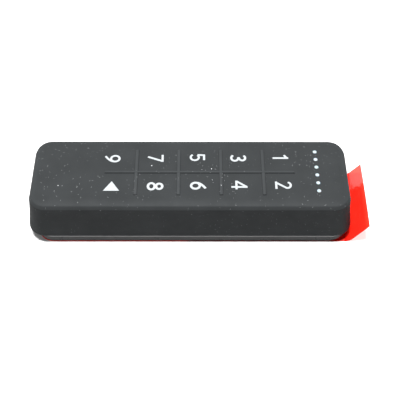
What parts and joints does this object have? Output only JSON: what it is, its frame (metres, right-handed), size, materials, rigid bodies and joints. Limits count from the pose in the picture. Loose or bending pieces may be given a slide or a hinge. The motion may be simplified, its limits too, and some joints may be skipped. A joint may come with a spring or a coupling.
{
  "type": "keypad access reader",
  "caption": "Slim battery keypad in a matt black soft cover with ribbed digit keys and status lights, on a hooked wall plate with adhesive pad and red release film.",
  "frame": {"origin": "centre of the keypad's flat back, on the release film face that lies against the wall or table", "axes": "+X along the keypad to its top end, where the status lights are; +Y to the left when the keypad hangs on a wall with its top end up and is seen from the front; +Z out of the wall through the key face"},
  "size_m": [0.1068, 0.029, 0.0177],
  "materials": {
    "soft_black": "matt soft-touch silicone with white printed digits",
    "plate_plastic": "moulded, satin to glossy",
    "frame_plastic": "fine moulded grain",
    "foam_adhesive": "closed-cell foam with a tacky face",
    "red_film": "thin clear red polyester film",
    "gasket_rubber": "smooth",
    "screw_steel": "zinc plated",
    "contact_metal": "nickel plated spring steel",
    "dome_steel": "thin stainless snap domes",
    "cell_jacket": "plain cell jacket with a dark band",
    "board_green": "solder resist on glass laminate",
    "chip_black": "moulded epoxy",
    "ceramic_white": "fired ceramic",
    "ceramic_tan": "fired ceramic",
    "crystal_can": "plated can",
    "led_body": "clear epoxy over a white body",
    "light_window": "milky acrylic",
    "dome_film": "clear polyester adhesive film"
  },
  "bodies": {
    "mount": {"mounting_plate": "plate_plastic", "foam_pad": "foam_adhesive", "release_film": "red_film"},
    "pull_tab": {"film_pull_tab": "red_film"},
    "keypad": {"soft_cover": "soft_black", "front_frame": "frame_plastic", "rear_housing": "frame_plastic", "battery_door": "frame_plastic", "case_gasket": "gasket_rubber", "case_screws": "screw_steel", "battery_1": "cell_jacket", "battery_2": "cell_jacket", "positive_contact": "contact_metal", "negative_spring_contact": "contact_metal", "series_link_contact": "contact_metal", "main_board": "board_green", "radio_chip": "chip_black", "chip_antenna": "ceramic_white", "clock_crystal": "crystal_can", "voltage_regulator": "chip_black", "board_capacitors": "ceramic_tan", "status_leds": "led_body", "status_light_guide": "light_window", "dome_retainer_film": "dome_film", "dome_1": "dome_steel", "dome_2": "dome_steel", "dome_3": "dome_steel", "dome_4": "dome_steel", "dome_5": "dome_steel", "dome_6": "dome_steel", "dome_7": "dome_steel", "dome_8": "dome_steel", "dome_9": "dome_steel", "dome_arrow": "dome_steel"},
    "key_1": {"key_1": "soft_black"},
    "key_2": {"key_2": "soft_black"},
    "key_3": {"key_3": "soft_black"},
    "key_4": {"key_4": "soft_black"},
    "key_5": {"key_5": "soft_black"},
    "key_6": {"key_6": "soft_black"},
    "key_7": {"key_7": "soft_black"},
    "key_8": {"key_8": "soft_black"},
    "key_9": {"key_9": "soft_black"},
    "key_arrow": {"key_arrow": "soft_black"}
  },
  "joints": [
    {"name": "keypad_unhook", "type": "slide", "parent": "mount", "child": "keypad", "axis": [1, 0, 0], "range_m": [0, 0.0021]},
    {"name": "pull_tab_flex", "type": "hinge", "parent": "mount", "child": "pull_tab", "pos_m": [0.0505, 0, 0.00005], "axis": [0.1414, 0.9899, 0], "range_deg": [0, 15], "stiffness_Nm_per_rad": 0.002},
    {"name": "key_1_press", "type": "slide", "parent": "keypad", "child": "key_1", "axis": [0, 0, -1], "range_m": [0, 0.0003], "stiffness_N_per_m": 6000, "deforming": ["dome_1"]},
    {"name": "key_2_press", "type": "slide", "parent": "keypad", "child": "key_2", "axis": [0, 0, -1], "range_m": [0, 0.0003], "stiffness_N_per_m": 6000, "deforming": ["dome_2"]},
    {"name": "key_3_press", "type": "slide", "parent": "keypad", "child": "key_3", "axis": [0, 0, -1], "range_m": [0, 0.0003], "stiffness_N_per_m": 6000, "deforming": ["dome_3"]},
    {"name": "key_4_press", "type": "slide", "parent": "keypad", "child": "key_4", "axis": [0, 0, -1], "range_m": [0, 0.0003], "stiffness_N_per_m": 6000, "deforming": ["dome_4"]},
    {"name": "key_5_press", "type": "slide", "parent": "keypad", "child": "key_5", "axis": [0, 0, -1], "range_m": [0, 0.0003], "stiffness_N_per_m": 6000, "deforming": ["dome_5"]},
    {"name": "key_6_press", "type": "slide", "parent": "keypad", "child": "key_6", "axis": [0, 0, -1], "range_m": [0, 0.0003], "stiffness_N_per_m": 6000, "deforming": ["dome_6"]},
    {"name": "key_7_press", "type": "slide", "parent": "keypad", "child": "key_7", "axis": [0, 0, -1], "range_m": [0, 0.0003], "stiffness_N_per_m": 6000, "deforming": ["dome_7"]},
    {"name": "key_8_press", "type": "slide", "parent": "keypad", "child": "key_8", "axis": [0, 0, -1], "range_m": [0, 0.0003], "stiffness_N_per_m": 6000, "deforming": ["dome_8"]},
    {"name": "key_9_press", "type": "slide", "parent": "keypad", "child": "key_9", "axis": [0, 0, -1], "range_m": [0, 0.0003], "stiffness_N_per_m": 6000, "deforming": ["dome_9"]},
    {"name": "key_arrow_press", "type": "slide", "parent": "keypad", "child": "key_arrow", "axis": [0, 0, -1], "range_m": [0, 0.0003], "stiffness_N_per_m": 6000, "deforming": ["dome_arrow"]}
  ]
}
